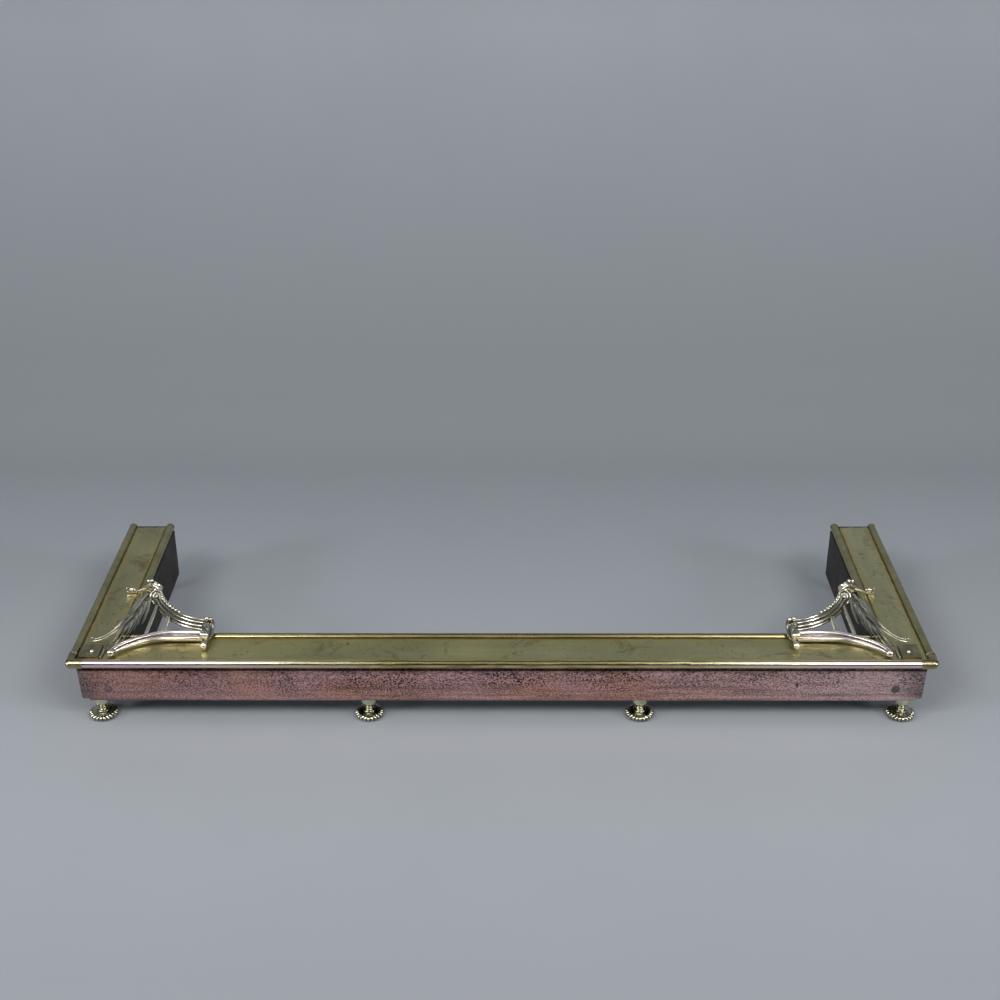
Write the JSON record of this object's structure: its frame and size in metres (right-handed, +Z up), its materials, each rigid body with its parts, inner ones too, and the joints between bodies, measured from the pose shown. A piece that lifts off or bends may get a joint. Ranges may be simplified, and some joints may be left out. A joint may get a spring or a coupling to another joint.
{
  "type": "fire fender",
  "caption": "Low three-sided hearth fender with flat brass rails, round bead edges, a copper fascia, gadrooned ball feet and openwork cast corner brackets.",
  "frame": {"origin": "on the floor, under the middle of the bounding box", "axes": "+X to the right along the front rail, +Y back into the fireplace, +Z up; the front faces -Y"},
  "size_m": [1.253, 0.422, 0.1375],
  "materials": {
    "tarnished_brass_plate": "flat sheet brass, tarnished olive with brown stains and fine dark specks",
    "polished_brass": "drawn tube, polished by handling, with a faint pink tarnish near its ends",
    "dull_brass": "drawn tube, dulled and lightly tarnished",
    "cast_brass": "cast and polished, with dark tarnish left in the hollows",
    "dark_bronze": "cast, dark brown patina worn bright on its edges",
    "aged_copper": "rolled copper sheet, mauve-brown patina with fine speckle and horizontal streaks",
    "black_iron": "black sheet and strap iron with a little rust"
  },
  "bodies": {
    "root": {"front_top_plate": "tarnished_brass_plate", "left_top_plate": "tarnished_brass_plate", "right_top_plate": "tarnished_brass_plate", "front_outer_bead": "polished_brass", "left_outer_bead": "dull_brass", "right_outer_bead": "dull_brass", "front_inner_bead": "dull_brass", "left_inner_bead": "dull_brass", "right_inner_bead": "dull_brass", "left_corner_cap": "dark_bronze", "right_corner_cap": "dark_bronze", "left_bead_tips": "dark_bronze", "right_bead_tips": "dark_bronze", "front_fascia": "aged_copper", "left_fascia": "aged_copper", "right_fascia": "aged_copper", "left_corner_wrap": "aged_copper", "right_corner_wrap": "aged_copper", "front_liner": "black_iron", "left_liner": "black_iron", "right_liner": "black_iron", "left_end_plate": "black_iron", "right_end_plate": "black_iron", "left_corner_bracket": "black_iron", "right_corner_bracket": "black_iron", "left_mid_strap": "black_iron", "right_mid_strap": "black_iron", "left_rear_strap": "black_iron", "right_rear_strap": "black_iron", "left_front_foot": "cast_brass", "right_front_foot": "cast_brass", "left_mid_foot": "cast_brass", "right_mid_foot": "cast_brass", "left_rear_foot": "cast_brass", "right_rear_foot": "cast_brass", "foot_nuts": "black_iron", "left_fascia_rivets": "black_iron", "right_fascia_rivets": "black_iron", "pad_rivets": "cast_brass", "left_corner_pad": "cast_brass", "right_corner_pad": "cast_brass", "left_smooth_arm": "cast_brass", "right_smooth_arm": "cast_brass", "left_fluted_arch": "cast_brass", "right_fluted_arch": "cast_brass", "left_front_scroll": "cast_brass", "right_front_scroll": "cast_brass", "left_side_scroll": "cast_brass", "right_side_scroll": "cast_brass", "left_leaf_arm": "cast_brass", "right_leaf_arm": "cast_brass"}
  },
  "joints": []
}
